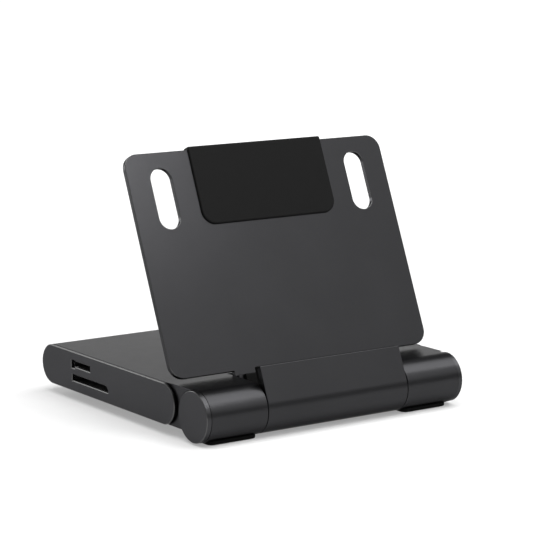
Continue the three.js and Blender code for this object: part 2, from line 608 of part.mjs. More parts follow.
const base = new THREE.Group();
base.add(bodyShell(), sideCapLeft(), sideCapRight(), baseCover(), mainBoard(), audioJack(), leadGland());
base.add(...SIDES.flatMap((side) => [barrelCap(side), frontFoot(side), rearFoot(side), hingeSleeve(side)]));
base.add(...POSTS.map(([x, y], i) => countersunkScrew(`cover_screw_${i + 1}`, x, y, HUB_BOTTOM, SCREW.length)));
base.add(...STANDOFFS.map(([x, y], i) => boardScrew(`board_screw_${i + 1}`, x, y)));
base.add(portSocket('hdmi_socket', PORTS.hdmi));
base.add(portSocket('usb_a_socket', PORTS.usbA));
base.add(portSocket('usb_c_socket', PORTS.usbC));
base.add(cardSocket('sd_card_socket', SD, 26, -2.6, BOARD_LOW - FIT));
base.add(cardSocket('microsd_card_socket', MICRO_SD, 15, BOARD_HIGH + FIT, 5.9));
base.add(chip('hub_controller_chip', HUB_CHIP.x, HUB_CHIP.y, HUB_CHIP.size, HUB_CHIP.height), thermalPad());
base.add(chip('display_converter_chip', 26, 36, 7, 0.9));
base.add(chip('card_reader_chip', -22, 62, 5, 0.8));
base.add(chip('power_controller_chip', 26, 70, 5, 0.8));
base.add(chip('power_inductor', 20, 76, 4, 3, THERMAL_GREY));

const stand = new THREE.Group();
stand.add(standPlate(), cradle(), cradleLiner(), platePad());
stand.add(...PLATE_SCREWS_X.map((_, i) => plateScrew(i)));
stand.add(...SIDES.flatMap((side) => [hingeShaft(side), springWashers(side), hingeNut(side), shaftPin(side)]));
stand.rotation.x = -LEAN;

const group = new THREE.Group();
group.add(base, stand);
group.position.set(0, (BARREL_R - HUB_REAR_Y - HUB_HALF_T) / 2, DESK_DROP);

export default group;
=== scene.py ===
# A folding tablet stand whose base is a slim connection hub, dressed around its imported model.
import json
from math import acos, asin, cos, degrees, radians, sin

import bmesh
import bpy
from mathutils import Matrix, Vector
from mathutils.geometry import tessellate_polygon


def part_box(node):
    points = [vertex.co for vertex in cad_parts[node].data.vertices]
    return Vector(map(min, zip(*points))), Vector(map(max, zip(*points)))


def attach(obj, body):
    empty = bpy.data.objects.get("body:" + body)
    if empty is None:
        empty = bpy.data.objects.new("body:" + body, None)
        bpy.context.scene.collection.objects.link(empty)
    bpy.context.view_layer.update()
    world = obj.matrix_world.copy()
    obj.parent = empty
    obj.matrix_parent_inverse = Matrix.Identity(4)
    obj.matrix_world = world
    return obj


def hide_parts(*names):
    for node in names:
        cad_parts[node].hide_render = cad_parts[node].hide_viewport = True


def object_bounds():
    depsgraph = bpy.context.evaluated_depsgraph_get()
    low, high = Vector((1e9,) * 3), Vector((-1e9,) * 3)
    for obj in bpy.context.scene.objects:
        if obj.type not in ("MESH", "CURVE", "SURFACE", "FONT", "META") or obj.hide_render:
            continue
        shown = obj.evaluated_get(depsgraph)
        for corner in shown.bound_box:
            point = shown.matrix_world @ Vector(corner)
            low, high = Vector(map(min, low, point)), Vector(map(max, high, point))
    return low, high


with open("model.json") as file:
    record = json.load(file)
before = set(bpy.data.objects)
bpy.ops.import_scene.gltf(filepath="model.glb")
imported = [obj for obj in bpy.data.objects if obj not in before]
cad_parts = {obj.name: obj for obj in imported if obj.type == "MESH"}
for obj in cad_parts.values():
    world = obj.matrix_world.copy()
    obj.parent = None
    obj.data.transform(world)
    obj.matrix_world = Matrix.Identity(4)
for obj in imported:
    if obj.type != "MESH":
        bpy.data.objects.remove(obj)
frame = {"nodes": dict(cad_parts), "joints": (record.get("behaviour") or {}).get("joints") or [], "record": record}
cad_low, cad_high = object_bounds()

MM = 0.001


# ---------------------------------------------------------------- camera
# A long lens from the front left, about ten degrees above level.
CAMERA_PLACE = Vector((-441.3, -647.9, 184.8)) * MM
CAMERA_TURN = radians(34.904)
CAMERA_DIP = radians(10.166)
CAMERA_LENS = 148.5

camera = bpy.data.objects.new("camera", bpy.data.cameras.new("camera"))
camera.data.lens = CAMERA_LENS
camera.data.clip_start = 0.01
camera.location = CAMERA_PLACE
camera.rotation_euler = (radians(90) - CAMERA_DIP, 0, -CAMERA_TURN)
bpy.context.scene.collection.objects.link(camera)
bpy.context.scene.camera = camera


# ---------------------------------------------------------------- studio
# Pale paper that glows a little, and more with distance, in a dim room with six lamps: a broad soft one overhead,
# a panel and a small lamp in front, and three lamps behind.
# Materials are written with Socket: arithmetic on one adds Math nodes, and node() adds any other node.
class Socket:
    """One output in a material's node tree."""

    def __init__(self, tree, output=None):
        self.tree = tree
        self.output = output

    def node(self, kind, settings=None, inputs=None, output=0):
        made = self.tree.nodes.new("ShaderNode" + kind)
        for name, value in (settings or {}).items():
            setattr(made, name, value)
        for name, value in (inputs or {}).items():
            if isinstance(value, Socket):
                self.tree.links.new(value.output, made.inputs[name])
            else:
                made.inputs[name].default_value = value
        return Socket(self.tree, made.outputs[output])

    def math(self, operation, a, b):
        return self.node("Math", {"operation": operation}, {0: a, 1: b})

    def __add__(self, other):
        return self.math("ADD", self, other)

    def __sub__(self, other):
        return self.math("SUBTRACT", self, other)

    def __rsub__(self, other):
        return self.math("SUBTRACT", other, self)

    def __mul__(self, other):
        return self.math("MULTIPLY", self, other)

    __radd__ = __add__
    __rmul__ = __mul__

    def above(self, low, high):
        """0 where this is under low, 1 where it is over high."""
        return self.node("MapRange", {}, {"Value": self, "From Min": low, "From Max": high})

    def tint(self, first, second):
        """The first colour where this is 0 and the second where it is 1."""
        return self.node("Mix", {"data_type": "RGBA"}, {0: self, 6: first, 7: second}, output=2)


def grey(value, cast=(1.0, 1.0, 1.0)):
    return tuple(value * c for c in cast) + (1.0,)


def material(name, write):
    """A material whose Principled shader takes the socket values that write(nodes) returns."""
    made = bpy.data.materials.new(name)
    made.use_nodes = True
    tree = made.node_tree
    shader = next(n for n in tree.nodes if n.type == "BSDF_PRINCIPLED")
    for socket, value in write(Socket(tree)).items():
        if isinstance(value, Socket):
            tree.links.new(value.output, shader.inputs[socket])
        else:
            shader.inputs[socket].default_value = value
    return made


def grain(nodes, size, detail=2.0, roughness=0.5):
    """Noise whose grains are about size millimetres across, fixed to the piece."""
    place = nodes.node("TexCoord", output=3)
    return nodes.node("TexNoise", {}, {"Vector": place, "Scale": 1 / (size * MM), "Detail": detail,
                                       "Roughness": roughness})


def bump(nodes, height, depth):
    """A normal from a height between 0 and 1 that stands for depth millimetres."""
    return nodes.node("Bump", {}, {"Height": height, "Distance": depth * MM})


def paper(nodes):
    fibres = grain(nodes, 6.0)
    away = nodes.node("VectorMath", {"operation": "LENGTH"}, {0: nodes.node("TexCoord", output=3)}, output=1)
    return {"Base Color": fibres.tint(grey(0.49), grey(0.51)), "Roughness": 0.9, "Specular IOR Level": 0.0,
            "Emission Color": away.above(0.3, 1.0).tint(grey(0.3), grey(0.85)), "Emission Strength": 1.0}


FLOOR_HALF = 9.0
floor_mesh = bpy.data.meshes.new("floor")
floor_mesh.from_pydata([(-FLOOR_HALF, -FLOOR_HALF, 0), (FLOOR_HALF, -FLOOR_HALF, 0),
                        (FLOOR_HALF, FLOOR_HALF, 0), (-FLOOR_HALF, FLOOR_HALF, 0)], [], [(0, 1, 2, 3)])
floor = bpy.data.objects.new("floor", floor_mesh)
floor_mesh.materials.append(material("white_paper", paper))
bpy.context.scene.collection.objects.link(floor)

ROOM_LIGHT = 0.38
world = bpy.data.worlds.new("dim_room")
world.use_nodes = True
world.node_tree.nodes["Background"].inputs["Color"].default_value = grey(1.0)
world.node_tree.nodes["Background"].inputs["Strength"].default_value = ROOM_LIGHT
bpy.context.scene.world = world
bpy.context.scene.view_settings.view_transform = "Standard"


def lamp(name, kind, place, aim, energy, **settings):
    """A lamp at place that shines towards aim, both in metres."""
    data = bpy.data.lights.new(name, kind)
    data.energy = energy
    for setting, value in settings.items():
        setattr(data, setting, value)
    made = bpy.data.objects.new(name, data)
    made.location = place
    made.rotation_euler = (Vector(aim) - Vector(place)).to_track_quat("-Z", "Y").to_euler()
    made.visible_camera = False
    bpy.context.scene.collection.objects.link(made)


lamp("overhead", "AREA", (0.35, -0.24, 1.10), (0.35, -0.24, 0), 25, shape="RECTANGLE", size=2.4, size_y=0.9)
lamp("front_right", "AREA", (0.68, -0.82, 0.70), (0, 0, 0.05), 3.0, shape="RECTANGLE", size=1.4, size_y=0.7)
lamp("front", "AREA", (0.10, -0.30, 0.35), (-0.03, 0, 0.07), 0.44, size=0.12)
lamp("behind_right", "AREA", (0.85, 1.20, 0.35), (0, 0, 0.02), 2.8, shape="RECTANGLE", size=1.4, size_y=0.5)
lamp("behind_left", "AREA", (-0.20, 0.95, 0.65), (0, 0, 0.02), 2.2, size=0.5)
lamp("left", "AREA", (-0.75, 1.05, 0.14), (0, 0, 0.03), 9, shape="RECTANGLE", size=1.2, size_y=0.28)


# ---------------------------------------------------------------- body: hub, link and outer barrels
# One dark grey anodised aluminium extrusion, bead-blasted before anodising. It is milled out for the cradle between
# the barrels, bored for the hinges and opened underneath for the board. All its free edges are broken.
AXIS = Vector(frame["joints"][0]["pos_m"]) / MM       # the barrel axis, which everything is measured from
HALF_WIDTH = cad_high.x / MM
BARREL_R = 8.755
BORE_R = 6.3
BARREL_END = 51.2
NOTCH_HALF = 29.17
NOTCH_R = 17.9
HUB_R = 7.06                                          # half the hub's thickness and the radius of its round edges
HUB_MID = 1.42
HUB_TOP = HUB_MID + HUB_R
HUB_BOTTOM = HUB_MID - HUB_R
HUB_FRONT = 17.09
HUB_REAR = 91.2
HUB_WALL = 1.5
CAVITY_FRONT = 20.0
BODY_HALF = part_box("body_shell")[1].x / MM
LINK_CREST = 12.0
LINK_DIP = 17.5
POSTS = [(-36, 27), (36, 27), (-28, 85), (28, 85)]    # for the base cover's screws
STANDOFFS = [(-8, 33), (14, 50), (-6, 80)]            # for the board's screws
FIT = 0.15
FOOT_SEAT = -7.6
COVER_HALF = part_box("base_cover")[1].x / MM
COVER_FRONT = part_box("base_cover")[0].y / MM - AXIS.y
COVER_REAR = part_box("base_cover")[1].y / MM - AXIS.y
COVER_CORNER = 5.0


def arc(u, v, r, start, end, steps):
    """Points of an arc about (u, v), from start to end degrees."""
    turns = [radians(start + (end - start) * i / steps) for i in range(steps + 1)]
    return [(u + r * cos(a), v + r * sin(a)) for a in turns]


def rounded(u0, u1, v0, v1, r, steps=10):
    """A rectangle with round corners, anticlockwise."""
    return (arc(u1 - r, v0 + r, r, -90, 0, steps) + arc(u1 - r, v1 - r, r, 0, 90, steps)
            + arc(u0 + r, v1 - r, r, 90, 180, steps) + arc(u0 + r, v0 + r, r, 180, 270, steps))


def circle(u, v, r, steps=64):
    return arc(u, v, r, 0, 360, steps)[:-1]


def distinct(points):
    """The loop without points that repeat their neighbour."""
    kept = [p for p, q in zip(points, points[1:] + points[:1]) if abs(p[0] - q[0]) + abs(p[1] - q[1]) > 1e-5]
    return kept


def inset(points, by):
    """An anticlockwise loop drawn in by that much, or a clockwise one drawn out."""
    if not by:
        return points
    made = []
    for before, here, after in zip(points[-1:] + points[:-1], points, points[1:] + points[:1]):
        a = (Vector(here) - Vector(before)).normalized()
        b = (Vector(after) - Vector(here)).normalized()
        side = Vector((-a.y - b.y, a.x + b.x))
        side /= max(0.2, 1 + a.dot(b))
        made.append((here[0] + by * side.x, here[1] + by * side.y))
    return made


def along_x(u, v, w):
    """A (y, z) section pushed along x, measured from the barrel axis."""
    return (Vector((w, u, v)) + AXIS_LINE) * MM


def along_z(u, v, w):
    """An (x, y) outline pushed upwards, measured from the barrel axis."""
    return (Vector((u, v, w)) + AXIS_LINE) * MM


AXIS_LINE = Vector((0, AXIS.y, AXIS.z))


def solid(name, faces_of, finishes):
    """An object from a function that fills a bmesh, closed and facing out."""
    shape = bmesh.new()
    faces_of(shape)
    bmesh.ops.remove_doubles(shape, verts=shape.verts, dist=1e-7)
    bmesh.ops.recalc_face_normals(shape, faces=shape.faces)
    mesh = bpy.data.meshes.new(name)
    shape.to_mesh(mesh)
    shape.free()
    for finish in finishes:
        mesh.materials.append(finish)
    made = bpy.data.objects.new(name, mesh)
    bpy.context.scene.collection.objects.link(made)
    return made


def prism(name, outline, levels, place, finishes=(), holes=()):
    """A closed solid on an outline with holes. levels are (place along it, how far the edge is drawn in there), and
    faces where the edge is drawn in take the second finish."""
    outer = distinct(list(outline))
    loops = [outer] + [distinct(list(hole))[::-1] for hole in holes]

    def fill(shape):
        rings = []
        for w, drawn in levels:
            ring = []
            for loop in loops:
                ring.append([shape.verts.new(place(u, v, w)) for u, v in inset(loop, drawn)])
            rings.append(ring)
        for (low, (_, a)), (high, (_, b)) in zip(zip(rings, levels), zip(rings[1:], levels[1:])):
            for lower, upper in zip(low, high):
                count = len(lower)
                for i in range(count):
                    j = (i + 1) % count
                    face = shape.faces.new((lower[i], lower[j], upper[j], upper[i]))
                    face.material_index = int(a != b and len(finishes) > 1)
        for ring in (rings[0], rings[-1]):
            flat = [vert for loop in ring for vert in loop]
            drawn = levels[0][1] if ring is rings[0] else levels[-1][1]
            edges = [inset(loop, drawn) for loop in loops]
            for face in tessellate_polygon([[Vector((u, v, 0)) for u, v in edge] for edge in edges]):
                shape.faces.new([flat[i] for i in face])

    return solid(name, fill, finishes)


def carve(piece, tool, operation="DIFFERENCE"):
    """Cuts the tool out of the piece, or joins it on, and removes the tool."""
    if not tool.data.materials:
        tool.data.materials.append(piece.data.materials[0])
    step = piece.modifiers.new("carve", "BOOLEAN")
    step.operation = operation
    step.solver = "EXACT"
    step.material_mode = "TRANSFER"
    step.object = tool
    settle(piece)
    bpy.data.objects.remove(tool)


def settle(piece):
    """Applies the piece's modifiers to its mesh."""
    graph = bpy.context.evaluated_depsgraph_get()
    mesh = bpy.data.meshes.new_from_object(piece.evaluated_get(graph))
    piece.modifiers.clear()
    piece.data = mesh


def break_edges(piece, chosen, width):
    """Chamfers the sharp edges for which chosen(its two ends) is true."""
    shape = bmesh.new()
    shape.from_mesh(piece.data)
    edges = [e for e in shape.edges if len(e.link_faces) == 2 and e.calc_face_angle(0) > radians(40)
             and chosen(*[v.co / MM for v in e.verts])]
    bmesh.ops.bevel(shape, geom=edges, offset=width * MM, segments=1, affect="EDGES", profile=0.5,
                    clamp_overlap=False)
    shape.to_mesh(piece.data)
    shape.free()


def smooth(piece, angle=28):
    """Smooth shading that keeps the flat faces flat and the edges above that angle crisp."""
    piece.data.polygons.foreach_set("use_smooth", [True] * len(piece.data.polygons))
    piece.data.set_sharp_from_angle(angle=radians(angle))
    even = piece.modifiers.new("even", "WEIGHTED_NORMAL")
    even.keep_sharp = True
    even.weight = 80
    return piece


def show(piece, body, slot, *nodes):
    """Smooths a finished piece, hangs it on its body and lets it stand for its CAD nodes."""
    smooth(piece)
    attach(piece, body)
    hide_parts(*nodes)
    return piece


def anodised(nodes, shade=0.036):
    blast = grain(nodes, 0.16, detail=3.0, roughness=0.6)
    batch = grain(nodes, 22.0)
    handled = grain(nodes, 4.0, detail=4.0)
    cast = (1, 1, 1.05)
    dye = (0.35 * batch + 0.65 * blast).above(0.3, 0.7)
    colour = dye.tint(grey(0.9 * shade, cast), grey(1.1 * shade, cast))
    return {"Base Color": colour, "Metallic": 1.0, "Roughness": 0.25 + 0.04 * handled + 0.04 * blast,
            "Specular Tint": grey(0.5),
            "Normal": bump(nodes, blast, 0.012)}


def cut_edge(nodes):
    draw = grain(nodes, 0.4, detail=3.0)
    return {"Base Color": draw.tint(grey(0.07), grey(0.10)), "Metallic": 0.95,
            "Roughness": 0.26 + 0.1 * draw, "Normal": bump(nodes, draw, 0.004)}


ALUMINIUM = material("anodised_aluminium", anodised)
CUT_EDGE = material("machined_edge", cut_edge)

root_angle = degrees(asin(HUB_BOTTOM / BARREL_R))
section = (arc(0, 0, BARREL_R, 90, 360 + root_angle, 96)
           + arc(HUB_REAR, HUB_MID, HUB_R, -90, 90, 48)
           + [(LINK_DIP, HUB_TOP), (LINK_CREST, BARREL_R)])
body = prism("hub_body", section, [(-BODY_HALF, 0.1), (0.1 - BODY_HALF, 0), (BODY_HALF - 0.1, 0), (BODY_HALF, 0.1)],
             along_x, (ALUMINIUM,))
carve(body, prism("notch", circle(0, 0, NOTCH_R, 128), [(-NOTCH_HALF, 0), (NOTCH_HALF, 0)], along_x))
cavity_r = HUB_R - HUB_WALL
cavity = [(CAVITY_FRONT, HUB_MID - cavity_r)] + arc(HUB_REAR, HUB_MID, cavity_r, -90, 90, 24) \
    + [(CAVITY_FRONT, HUB_MID + cavity_r)]
carve(body, prism("cavity", cavity, [(-HALF_WIDTH, 0), (HALF_WIDTH, 0)], along_x))
carve(body, prism("bore", circle(0, 0, BORE_R), [(-HALF_WIDTH, 0), (HALF_WIDTH, 0)], along_x))
for low, high in ((-HALF_WIDTH, -BARREL_END), (BARREL_END, HALF_WIDTH)):
    carve(body, prism("cap_seat", circle(0, 0, BARREL_R + FIT, 128), [(low, 0), (high, 0)], along_x))
for low, high in ((-49.8, -30.2), (30.2, 49.8)):
    seat = [(-BARREL_R, -BARREL_R - 1), (6.2, -BARREL_R - 1), (6.2, FOOT_SEAT), (-BARREL_R, FOOT_SEAT)]
    carve(body, prism("foot_seat", seat, [(low, 0), (high, 0)], along_x))
opening = rounded(-COVER_HALF - FIT, COVER_HALF + FIT, COVER_FRONT - FIT, COVER_REAR + FIT, COVER_CORNER)
carve(body, prism("opening", opening, [(HUB_BOTTOM - 1, 0), (HUB_BOTTOM + HUB_WALL, 0)], along_z))
for places, r, hole_r, low in ((POSTS, 2.8, 1.1, HUB_BOTTOM + HUB_WALL + FIT), (STANDOFFS, 2.2, 0.9, 2.35)):
    for x, y in places:
        carve(body, prism("post", circle(x, y, r), [(low, 0), (HUB_TOP - HUB_WALL / 2, 0)], along_z,
                          holes=[circle(x, y, hole_r)]), "UNION")
break_edges(body, lambda a, b: abs(abs(a.x) - NOTCH_HALF) < 0.01 and abs(abs(b.x) - NOTCH_HALF) < 0.01
            and min((a - AXIS).yz.length, (b - AXIS).yz.length) > BARREL_R - 0.2, 0.12)
show(body, "hub_base", "anodised_aluminium", "body_shell")


# ---------------------------------------------------------------- side caps
# Milled aluminium end plates pressed into the hub, with a bright chamfer cut round the rim and round every mouth.
# The left one takes a full-size and a small memory card, the right one the sockets and the host lead.
# The caps' paler grey is painted reflection: it stands in for the light the caps catch from the pale floor beside
# them.
CAP_ALUMINIUM_PAINTED_REFLECTION = material("anodised_cap_painted_reflection", lambda nodes: anodised(nodes, 0.046))    # a slightly paler grey
CAP_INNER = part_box("side_cap_right")[0].x / MM
RIM = 0.26
SD_MOUTH, MICRO_MOUTH = (52.4, 77, -1.9, 0.3), (64.5, 77, 3.2, 5.2)     # front, back, low and high of each
SD_SLOT = [(52.4, -1.9), (77, -1.9), (77, 0.3), (53.7, 0.3), (52.4, -1.0)]
MICRO_SLOT = [(64.5, 3.2), (74.9, 3.2), (74.9, 2.6), (77.5, 2.6), (77.5, 5.45),
              (74.9, 5.45), (74.9, 5.2), (64.5, 5.2)]
PORTS = {"hdmi_socket": (35, 15.2, 5.8, 11, 1.6, 1.2), "usb_a_socket": (54, 13.4, 6.0, 14, 1.8, 0.4),
         "usb_c_socket": (70, 9.4, 3.6, 8, 0.7, 1.3)}
MOUTH_LIP = 0.5                                       # a cap covers this much of a socket's rim
JACK_Y, JACK_MOUTH_R = 82.5, 2.4
GLAND_Y, GLAND_R = 91.4, 2.6


def centred(u, v, width, height, r, steps=10):
    return rounded(u - width / 2, u + width / 2, v - height / 2, v + height / 2, r, steps)


def side_cap(name, low, high, mouths):
    rim = arc(HUB_REAR, HUB_MID, HUB_R, -90, 90, 64) + arc(HUB_FRONT, HUB_MID, HUB_R, 90, 270, 64)
    levels = [(low, RIM), (low + RIM, 0), (high - RIM, 0), (high, RIM)]
    cap = prism(name, rim, levels, along_x, (CAP_ALUMINIUM_PAINTED_REFLECTION, CUT_EDGE), mouths)
    show(cap, "hub_base", "anodised_aluminium", name)


side_cap("side_cap_left", -HALF_WIDTH, -CAP_INNER, [SD_SLOT, MICRO_SLOT])
mouths = [centred(y, HUB_MID, width - 2 * MOUTH_LIP, height - 2 * MOUTH_LIP, r)
          for y, width, height, depth, tongue, r in PORTS.values()]
mouths += [circle(JACK_Y, HUB_MID, JACK_MOUTH_R), circle(GLAND_Y, HUB_MID, GLAND_R + FIT)]
side_cap("side_cap_right", CAP_INNER, HALF_WIDTH, mouths)


# ---------------------------------------------------------------- barrel caps
# Turned aluminium plugs, pushed into the open ends of the outer barrels and anodised with them.
# Each has a short spigot inside and a fine chamfer round its face.
CAP_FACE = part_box("barrel_cap_right")[1].x / MM
CAP_R = BARREL_R - 0.1
SPIGOT_END = 48.6
CAP_CHAMFER = 0.2

for side, sign in (("left", -1), ("right", 1)):
    spigot = CAP_R - BORE_R + 0.2
    levels = [(SPIGOT_END, spigot), (BARREL_END + FIT, spigot), (BARREL_END + FIT, 0),
              (CAP_FACE - CAP_CHAMFER, 0), (CAP_FACE, CAP_CHAMFER)]
    levels = [(sign * w, drawn) for w, drawn in levels][::sign]
    # The barrel caps share the caps' paler grey, a painted reflection.
    cap = prism("barrel_cap_" + side, circle(0, 0, CAP_R, 128), levels, along_x, (CAP_ALUMINIUM_PAINTED_REFLECTION, CUT_EDGE))
    show(cap, "hub_base", "anodised_aluminium", "barrel_cap_" + side)


# ---------------------------------------------------------------- base cover and its screws
# A flush aluminium plate that closes the hub underneath, held by four black countersunk screws in posts.
COVER_LEVEL = HUB_BOTTOM + 1.3
SCREW_R, HEAD_R, HEAD_T = 0.9, 1.8, 0.9


def black_oxide(nodes):
    turning = grain(nodes, 0.3, detail=4.0)
    return {"Base Color": turning.tint(grey(0.05), grey(0.09)), "Metallic": 1.0, "Roughness": 0.3 + 0.2 * turning,
            "Normal": bump(nodes, turning, 0.006)}


SCREW_STEEL = material("black_screw_steel", black_oxide)


def countersink(piece, place):
    """A through hole with a cone for a screw head. place(u, v, w) runs inwards from the surface."""
    carve(piece, prism("cone", circle(0, 0, HEAD_R + 0.25, 32), [(-0.05, 0), (HEAD_T, HEAD_R - SCREW_R)], place))
    carve(piece, prism("through", circle(0, 0, SCREW_R + 0.2, 32), [(-0.1, 0), (4, 0)], place))


def countersunk_screw(name, body_name, place, length):
    shank = HEAD_R - SCREW_R
    levels = [(0.02, 0.12), (0.1, 0), (HEAD_T, shank), (length - 0.3, shank), (length, shank + 0.3)]
    screw = prism(name, circle(0, 0, HEAD_R, 32), levels, place, (SCREW_STEEL,))
    for width, height in ((2.0, 0.4), (0.4, 2.0)):
        carve(screw, prism("recess", centred(0, 0, width, height, 0.1, 2), [(-1, 0), (0.5, 0)], place))
    show(screw, body_name, "screw_steel", name)


cover = prism("base_cover", rounded(-COVER_HALF, COVER_HALF, COVER_FRONT, COVER_REAR, COVER_CORNER),
              [(HUB_BOTTOM, 0.2), (HUB_BOTTOM + 0.2, 0), (COVER_LEVEL, 0)], along_z, (ALUMINIUM, CUT_EDGE))
for number, (x, y) in enumerate(POSTS, 1):
    def up_from_cover(u, v, w, x=x, y=y):
        return along_z(x + u, y + v, HUB_BOTTOM + w)
    countersink(cover, up_from_cover)
    countersunk_screw("cover_screw_%d" % number, "hub_base", up_from_cover, 6.0)
show(cover, "hub_base", "anodised_aluminium", "base_cover")


# ---------------------------------------------------------------- feet
# Black moulded rubber: a long pad set into a flat under each outer barrel, and two obround posts at the rear
# that stand in the plate's slots when the stand is folded under the hub.
DESK = -AXIS_LINE.z
REAR_FOOT_Y, REAR_FOOT_LENGTH, REAR_FOOT_WIDTH = 75.4, 18.4, 6.8
SLOT_X = 40.3


def moulded_rubber(nodes):
    pores = grain(nodes, 0.25, detail=3.0)
    dust = grain(nodes, 5.0, detail=4.0).above(0.45, 0.75)
    return {"Base Color": (0.5 * pores + 0.5 * dust).tint(grey(0.003), grey(0.006)), "Roughness": 0.62 + 0.2 * dust,
            "Specular IOR Level": 0.05, "Normal": bump(nodes, pores, 0.02)}


BLACK_RUBBER = material("black_rubber", moulded_rubber)


def soft_levels(low, high, r, steps=4):
    """Levels of a solid whose two ends are rounded over by r."""
    turns = [radians(90 - 90 * i / steps) for i in range(steps + 1)]
    start = [(low + r * (1 - sin(a)), r * (1 - cos(a))) for a in turns]
    return start + [(low + high - w, drawn) for w, drawn in start[::-1]]


for side, sign in (("left", -1), ("right", 1)):
    front = prism("front_foot_" + side, centred(sign * 40, 0, 19, 9, 2.2), soft_levels(DESK, FOOT_SEAT - FIT, 0.5),
                  along_z, (BLACK_RUBBER,))
    show(front, "hub_base", "black_rubber", "front_foot_" + side)
    rear = prism("rear_foot_" + side, centred(sign * SLOT_X, REAR_FOOT_Y, REAR_FOOT_WIDTH, REAR_FOOT_LENGTH,
                                              REAR_FOOT_WIDTH / 2 - 0.001, 16),
                 soft_levels(DESK, HUB_BOTTOM - FIT, 0.6), along_z, (BLACK_RUBBER,))
    show(rear, "hub_base", "black_rubber", "rear_foot_" + side)


# ---------------------------------------------------------------- stand plate
# A flat sheet of the same dark anodised aluminium, its edges and slots finely chamfered. A tab reaches down from
# its lower edge behind the cradle's rear leg.
LEAN = radians(23.07)
PLATE_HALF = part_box("stand_plate")[1].x / MM
PLATE_FRONT, PLATE_T = 6.64, 1.8
PLATE_BACK = PLATE_FRONT + PLATE_T
PLATE_LOW, PLATE_HIGH, PLATE_CORNER = 13.9, 91.25, 5.19
TAB_LOW = -3.5
CRADLE_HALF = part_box("cradle")[1].x / MM
SLOT_HALF, SLOT_LOW, SLOT_HIGH = 4.15, 64.4, 85.75
PLATE_SCREWS_X, PLATE_SCREW_S = (-20, 0, 20), 7.7
PLATE_EDGE = 0.15


def in_stand(u, v, w):
    """An (x, height up the plate) outline pushed backwards, square to the plate."""
    return (Vector((u, w * cos(LEAN) + v * sin(LEAN), v * cos(LEAN) - w * sin(LEAN))) + AXIS_LINE) * MM


outline = ([(-CRADLE_HALF, TAB_LOW), (CRADLE_HALF, TAB_LOW), (CRADLE_HALF, PLATE_LOW)]
           + arc(PLATE_HALF - PLATE_CORNER, PLATE_LOW + PLATE_CORNER, PLATE_CORNER, -90, 0, 24)
           + arc(PLATE_HALF - PLATE_CORNER, PLATE_HIGH - PLATE_CORNER, PLATE_CORNER, 0, 90, 24)
           + arc(PLATE_CORNER - PLATE_HALF, PLATE_HIGH - PLATE_CORNER, PLATE_CORNER, 90, 180, 24)
           + arc(PLATE_CORNER - PLATE_HALF, PLATE_LOW + PLATE_CORNER, PLATE_CORNER, 180, 270, 24)
           + [(-CRADLE_HALF, PLATE_LOW)])
slots = [rounded(x - SLOT_HALF, x + SLOT_HALF, SLOT_LOW, SLOT_HIGH, SLOT_HALF - 0.001, 24) for x in (-SLOT_X, SLOT_X)]
plate = prism("stand_plate", outline, [(PLATE_FRONT, PLATE_EDGE), (PLATE_FRONT + PLATE_EDGE, 0),
                                       (PLATE_BACK - PLATE_EDGE, 0), (PLATE_BACK, PLATE_EDGE)],
              in_stand, (ALUMINIUM, CUT_EDGE), slots)
for number, x in enumerate(PLATE_SCREWS_X, 1):
    def into_plate(u, v, w, x=x):
        return in_stand(x + u, PLATE_SCREW_S + v, PLATE_BACK - w)
    countersink(plate, into_plate)
    countersunk_screw("plate_screw_%d" % number, "stand", into_plate, 3.7)
show(plate, "stand", "anodised_aluminium", "stand_plate")


# ---------------------------------------------------------------- cradle
# The middle barrel, the front lip and the rear leg are one aluminium extrusion, cut to length, with broken ends.
# The tablet's lower edge stands in its trough.
LIP_T, LIP_HIGH = 2.0, 12.1
TROUGH_FLOOR = 3.4
LEG_FRONT, LEG_BACK, LEG_HIGH = 4.6, PLATE_FRONT - 0.3, 12.2
LIP_BACK = LIP_T - BARREL_R
FILLET = 1.2
SHAFT_BORE_R = 2.4


def stand_section(u, v, w):
    """A (depth behind the axis, height up the plate) section pushed along x."""
    return in_stand(w, v, u)


flat_angle = degrees(acos(LEG_BACK / BARREL_R))
section = ([(LEG_BACK, LEG_HIGH - 0.2), (LEG_BACK - 0.2, LEG_HIGH), (LEG_FRONT + 0.2, LEG_HIGH),
            (LEG_FRONT, LEG_HIGH - 0.2)]
           + arc(LEG_FRONT - FILLET, TROUGH_FLOOR + FILLET, FILLET, 0, -90, 12)
           + arc(LIP_BACK + FILLET, TROUGH_FLOOR + FILLET, FILLET, -90, -180, 12)
           + [(LIP_BACK, LIP_HIGH - 0.5), (LIP_BACK - 0.5, LIP_HIGH)]
           + arc(0.3 - BARREL_R, LIP_HIGH - 0.3, 0.3, 90, 180, 6)
           + arc(0, 0, BARREL_R, 180, 360 - flat_angle, 96))
levels = [(-CRADLE_HALF, 0.12), (0.12 - CRADLE_HALF, 0), (CRADLE_HALF - 0.12, 0), (CRADLE_HALF, 0.12)]
cradle = prism("cradle", section, levels, stand_section, (ALUMINIUM,))
for low, high in ((-CRADLE_HALF - 1, -16.5), (16.5, CRADLE_HALF + 1)):
    carve(cradle, prism("shaft_bore", circle(0, 0, SHAFT_BORE_R), [(low, 0), (high, 0)], stand_section))
show(cradle, "stand", "anodised_aluminium", "cradle")


# ---------------------------------------------------------------- cradle liner
# A soft black channel moulded to the trough, full length on the lip and floor and shorter up the rear leg.
# It stands a little over the lip, so that a tablet never touches metal.
LINER_T, LINER_HIGH, LINER_LEG_HALF = 1.3, 12.5, 26.9
LINER_FRONT = LIP_BACK + 0.02
LINER_FLOOR = TROUGH_FLOOR + 0.02
LINER_BACK = LEG_FRONT - 0.02


